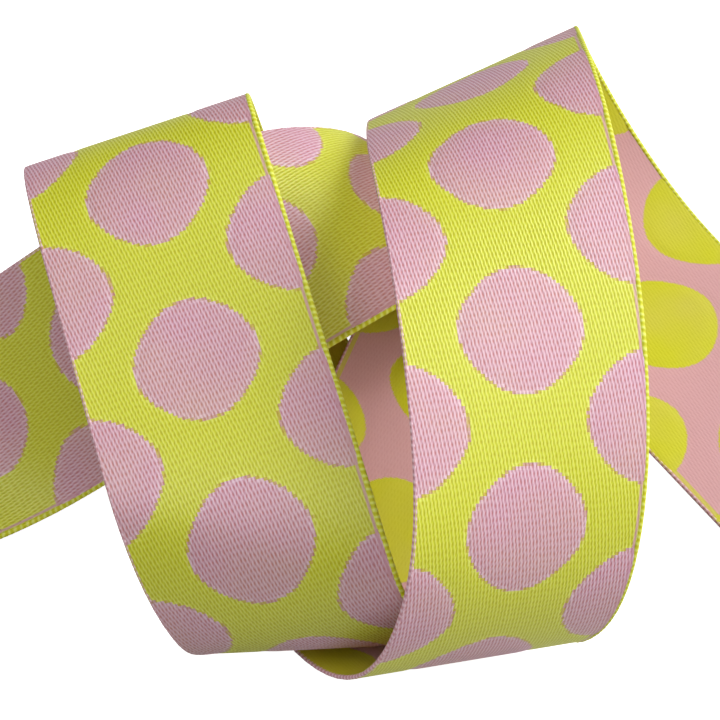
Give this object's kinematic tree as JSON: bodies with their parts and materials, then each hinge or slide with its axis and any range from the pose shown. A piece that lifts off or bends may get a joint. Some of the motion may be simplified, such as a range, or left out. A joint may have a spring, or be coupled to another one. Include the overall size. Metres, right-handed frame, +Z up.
{
  "type": "length of woven ribbon webbing",
  "caption": "Length of double-faced lime and pink woven ribbon with large dots, lying in an open coil of two standing loops with a flat tail at each side.",
  "frame": {"origin": "middle of the base of the ribbon's box, on the surface that it lies on", "axes": "+X towards the right-hand tail, +Y towards the back of the coil, +Z up"},
  "size_m": [0.1478, 0.0728, 0.0369],
  "materials": {
    "woven_ribbon": "satin-faced jacquard weave of fine polyester, lime ground with large pink dots, colours reversed on the inner face, corded lime selvedge and rolled pink selvedge"
  },
  "bodies": {
    "root": {"ribbon": "woven_ribbon"}
  },
  "joints": []
}
